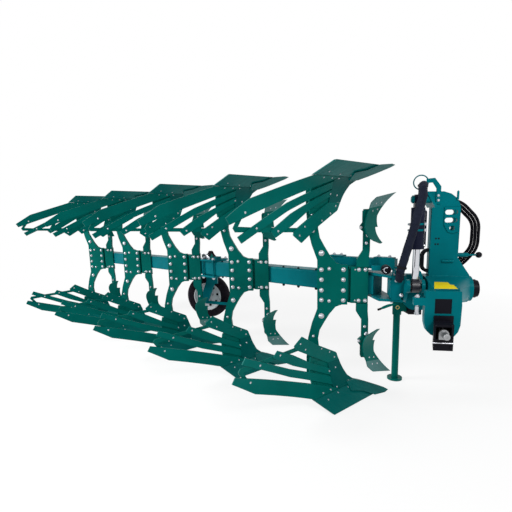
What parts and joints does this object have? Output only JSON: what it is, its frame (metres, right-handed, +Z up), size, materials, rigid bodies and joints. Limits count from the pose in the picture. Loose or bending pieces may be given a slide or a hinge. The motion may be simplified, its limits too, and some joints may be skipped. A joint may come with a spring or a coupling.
{
  "type": "reversible moldboard plough",
  "caption": "Mounted reversible moldboard plough with slatted mouldboards, skimmers, turnover headstock, hydraulic cylinder, parking stand and depth wheel.",
  "frame": {"origin": "middle of the base of the whole plough, on the ground", "axes": "+X the direction of travel, +Y the left hand side, +Z up"},
  "size_m": [4.8382, 3.0192, 1.716],
  "materials": {
    "barrel_paint": "gloss",
    "black_iron": "satin",
    "body_paint": "gloss",
    "chrome_rod": "polished",
    "frame_paint": "gloss",
    "hose_rubber": "matte",
    "pin_steel": "satin",
    "rim_paint": "satin",
    "share_steel": "satin",
    "tyre_rubber": "matte"
  },
  "bodies": {
    "headstock": {"mast": "frame_paint", "top_link_doublers": "frame_paint", "headstock_body": "frame_paint", "side_plate_right": "frame_paint", "side_plate_left": "frame_paint", "link_bracket_right": "black_iron", "link_bracket_left": "black_iron", "link_pin_right": "pin_steel", "link_pin_left": "pin_steel", "end_caps": "black_iron", "cylinder_bracket": "frame_paint", "stand_socket": "frame_paint", "mast_webs": "frame_paint", "hose_arm": "frame_paint", "hoses": "hose_rubber", "hose_sleeve": "hose_rubber"},
    "plough_frame": {"breasts_1": "body_paint", "breasts_2": "body_paint", "breasts_3": "body_paint", "breasts_4": "body_paint", "breasts_5": "body_paint", "frogs_1": "body_paint", "frogs_2": "body_paint", "frogs_3": "body_paint", "frogs_4": "body_paint", "frogs_5": "body_paint", "leg_1": "body_paint", "leg_2": "body_paint", "leg_3": "body_paint", "leg_4": "body_paint", "leg_5": "body_paint", "shares_1": "share_steel", "shares_2": "share_steel", "shares_3": "share_steel", "shares_4": "share_steel", "shares_5": "share_steel", "slats_1": "body_paint", "slats_2": "body_paint", "slats_3": "body_paint", "slats_4": "body_paint", "slats_5": "body_paint", "share_points": "share_steel", "slat_braces": "body_paint", "leg_brackets": "body_paint", "skimmer_plates": "body_paint", "skimmer_shanks": "body_paint", "skimmer_boards": "body_paint", "skimmer_shares": "share_steel", "main_beam": "frame_paint", "turnover_crank": "frame_paint", "console": "frame_paint", "link_bar": "frame_paint", "wheel_bracket": "frame_paint", "hose_stub": "hose_rubber"},
    "cylinder_barrel": {"cylinder_barrel": "barrel_paint"},
    "cylinder_rod": {"cylinder_rod": "chrome_rod"},
    "wheel_arm": {"wheel_arm": "frame_paint"},
    "depth_wheel": {"wheel_rim": "rim_paint", "wheel_tyre": "tyre_rubber"},
    "parking_stand": {"stand_leg": "frame_paint"}
  },
  "joints": [
    {"name": "turnover", "type": "hinge", "parent": "headstock", "child": "plough_frame", "pos_m": [2.07112, -0.90733, 0.858], "axis": [1, 0, 0], "range_deg": [0, 180]},
    {"name": "cylinder_swing", "type": "hinge", "parent": "headstock", "child": "cylinder_barrel", "pos_m": [1.98312, -1.03533, 1.454], "axis": [1, 0, 0], "range_deg": [-1, 22]},
    {"name": "cylinder_stroke", "type": "slide", "parent": "cylinder_barrel", "child": "cylinder_rod", "axis": [0, 0, -1], "range_m": [0, 0.182]},
    {"name": "wheel_swing", "type": "hinge", "parent": "plough_frame", "child": "wheel_arm", "pos_m": [0.15312, 0.29667, 0.708], "axis": [0, 1, 0], "range_deg": [-30, 8]},
    {"name": "wheel_spin", "type": "hinge", "parent": "wheel_arm", "child": "depth_wheel", "pos_m": [0.07112, 0.41467, 0.501], "axis": [0, 1, 0], "continuous": true},
    {"name": "stand_lift", "type": "slide", "parent": "headstock", "child": "parking_stand", "axis": [0, 0, 1], "range_m": [0, 0.3]}
  ]
}
